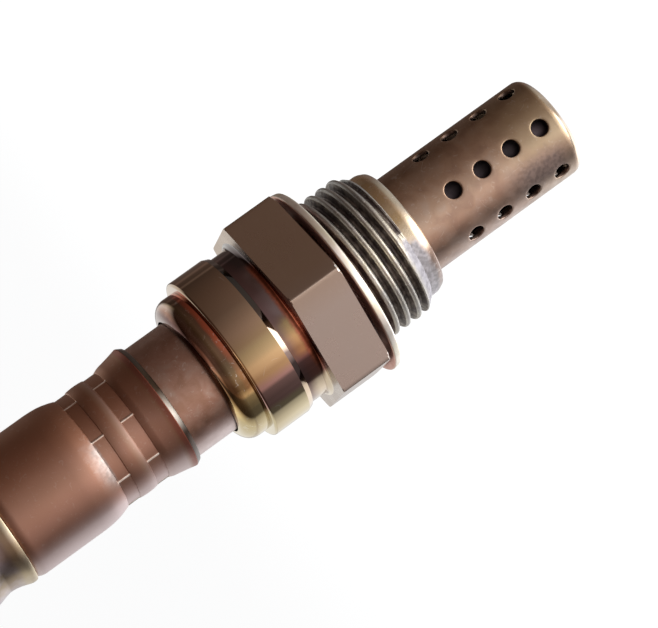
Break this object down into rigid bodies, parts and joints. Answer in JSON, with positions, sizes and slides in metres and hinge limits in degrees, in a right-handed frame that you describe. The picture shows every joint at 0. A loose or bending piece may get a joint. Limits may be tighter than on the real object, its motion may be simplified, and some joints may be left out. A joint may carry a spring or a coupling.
{
  "type": "oxygen sensor",
  "caption": "Heated exhaust oxygen sensor: perforated tip, threaded shell with hexagon and crush gasket, crimped metal sleeve, vent cover and grommet for the leads.",
  "frame": {"origin": "centre of the boss's spot face, in the plane of the gasket's lower face, on the thread's axis", "axes": "+Z along the axis from the perforated tip to the leads, as the sensor stands in its boss; a corner of the hexagon points to -Y"},
  "size_m": [0.0235, 0.0254, 0.0932],
  "materials": {
    "shell_steel": "nickel-plated steel, browned by heat",
    "gasket_steel": "bright stainless sheet",
    "tip_steel": "stainless sheet, bronze heat tint, matte",
    "thimble_ceramic": "zirconia, porous coating",
    "plain_steel": "bare steel",
    "talc": "packed powder, matte",
    "white_ceramic": "unglazed alumina",
    "tube_steel": "stainless tube, brown heat tint",
    "sleeve_steel": "stainless sheet, satin, brown heat tint",
    "bright_steel": "bright stainless sheet",
    "white_ptfe": "porous, matte",
    "contact_steel": "nickel-plated strip",
    "black_rubber": "fluorocarbon rubber, matte"
  },
  "bodies": {
    "root": {"shell": "shell_steel", "gasket": "gasket_steel", "outer_protector": "tip_steel", "inner_protector": "tip_steel", "sensing_element": "thimble_ceramic", "seat_washer": "plain_steel", "talc_ring": "talc", "ceramic_bushing": "white_ceramic", "caulking_ring": "plain_steel", "heater_rod": "white_ceramic", "inner_cover": "tube_steel", "outer_sleeve": "sleeve_steel", "vent_cover": "bright_steel", "vent_filter": "white_ptfe", "terminal_insulator": "white_ceramic", "spring_washer": "plain_steel", "signal_contact": "contact_steel", "ground_contact": "contact_steel", "heater_contact_a": "contact_steel", "heater_contact_b": "contact_steel", "rubber_grommet": "black_rubber"}
  },
  "joints": []
}
